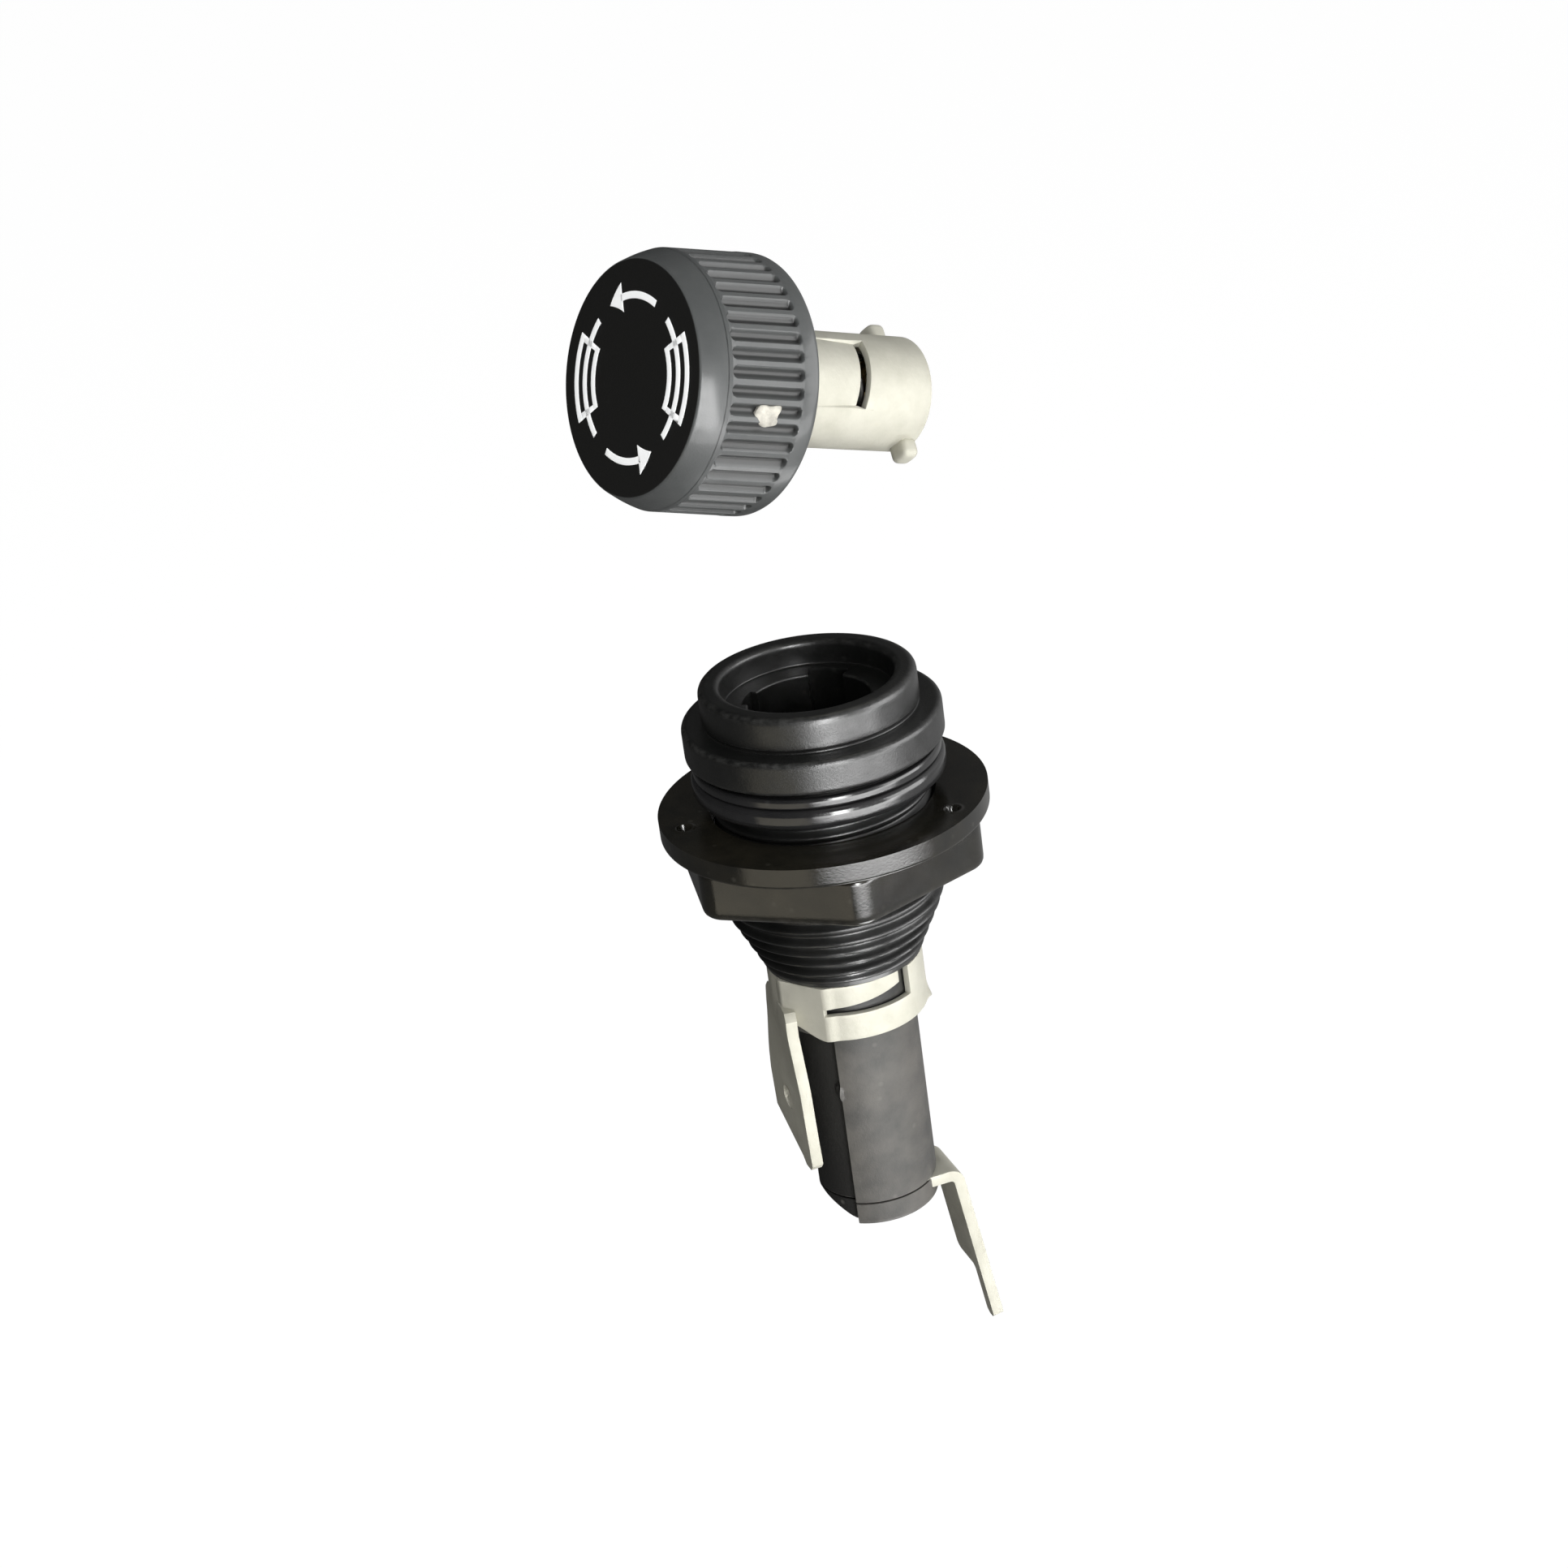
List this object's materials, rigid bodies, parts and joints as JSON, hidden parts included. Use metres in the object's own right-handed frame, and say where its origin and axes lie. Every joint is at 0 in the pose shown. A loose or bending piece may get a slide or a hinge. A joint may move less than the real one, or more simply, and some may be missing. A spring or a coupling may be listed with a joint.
{
  "type": "panel-mount fuse holder",
  "caption": "Panel-mount bayonet fuse holder: threaded barrel with flange, gasket, washer and nut, two terminals, and a knurled cap with a fuse carrier, shown taken off.",
  "frame": {"origin": "on the barrel's axis, level with the underside of the flange", "axes": "+Z along the barrel's axis, out of the mouth; +X towards the end terminal; the side terminal's tab is on -X"},
  "size_m": [0.0241, 0.0226, 0.0832],
  "materials": {
    "body_plastic": "satin black moulded plastic",
    "nut_plastic": "black moulded plastic with a soft gloss",
    "knob_plastic": "grey-black satin plastic, black on the face",
    "tube_plastic": "matte dark grey moulded plastic",
    "inlay": "pale index spot",
    "rubber": "smooth black rubber",
    "tinned_metal": "dull tin plate on brass",
    "brass": "bare brass",
    "spring_steel": "bright drawn steel"
  },
  "bodies": {
    "holder": {"holder_body": "body_plastic", "panel_gasket": "rubber", "contact_sleeve": "brass", "side_terminal": "tinned_metal", "lower_tube": "tube_plastic", "end_plug": "tube_plastic", "end_terminal": "tinned_metal", "end_contact": "brass", "end_rivet": "brass"},
    "washer": {"nut_washer": "nut_plastic"},
    "nut": {"hex_nut": "nut_plastic"},
    "plunger": {"carrier_plunger": "brass"},
    "cap_seal": {"knob_seal": "rubber"},
    "cap": {"knob": "knob_plastic", "index_inlay": "inlay", "fuse_carrier": "tinned_metal", "carrier_retainer": "spring_steel", "carrier_spring": "spring_steel"}
  },
  "joints": [
    {"name": "nut_travel", "type": "slide", "parent": "holder", "child": "washer", "axis": [0, 0, 1], "range_m": [-0.005, 0.0013]},
    {"name": "nut_spin", "type": "hinge", "parent": "washer", "child": "nut", "pos_m": [0, 0, -0.0073], "axis": [0, 0, 1], "range_deg": [-1800, 468]},
    {"name": "cap_tip", "type": "hinge", "parent": "holder", "child": "plunger", "pos_m": [-0.00624, -0.00172, 0.02054], "axis": [-0.2656, 0.9641, 0], "range_deg": [0, 70.7]},
    {"name": "cap_insert", "type": "slide", "parent": "plunger", "child": "cap_seal", "axis": [0.9099, 0.2506, -0.3305], "range_m": [0, 0.0155], "stiffness_N_per_m": 60, "springref_m": -0.008, "deforming": ["carrier_spring"]},
    {"name": "cap_twist", "type": "hinge", "parent": "cap_seal", "child": "cap", "pos_m": [0, 0, 0.02513], "axis": [0.9099, 0.2506, -0.3305], "range_deg": [0, 60]}
  ],
  "couplings": [
    {"joint": "nut_travel", "follows": "nut_spin", "m_per_rad": 0.00015915}
  ]
}
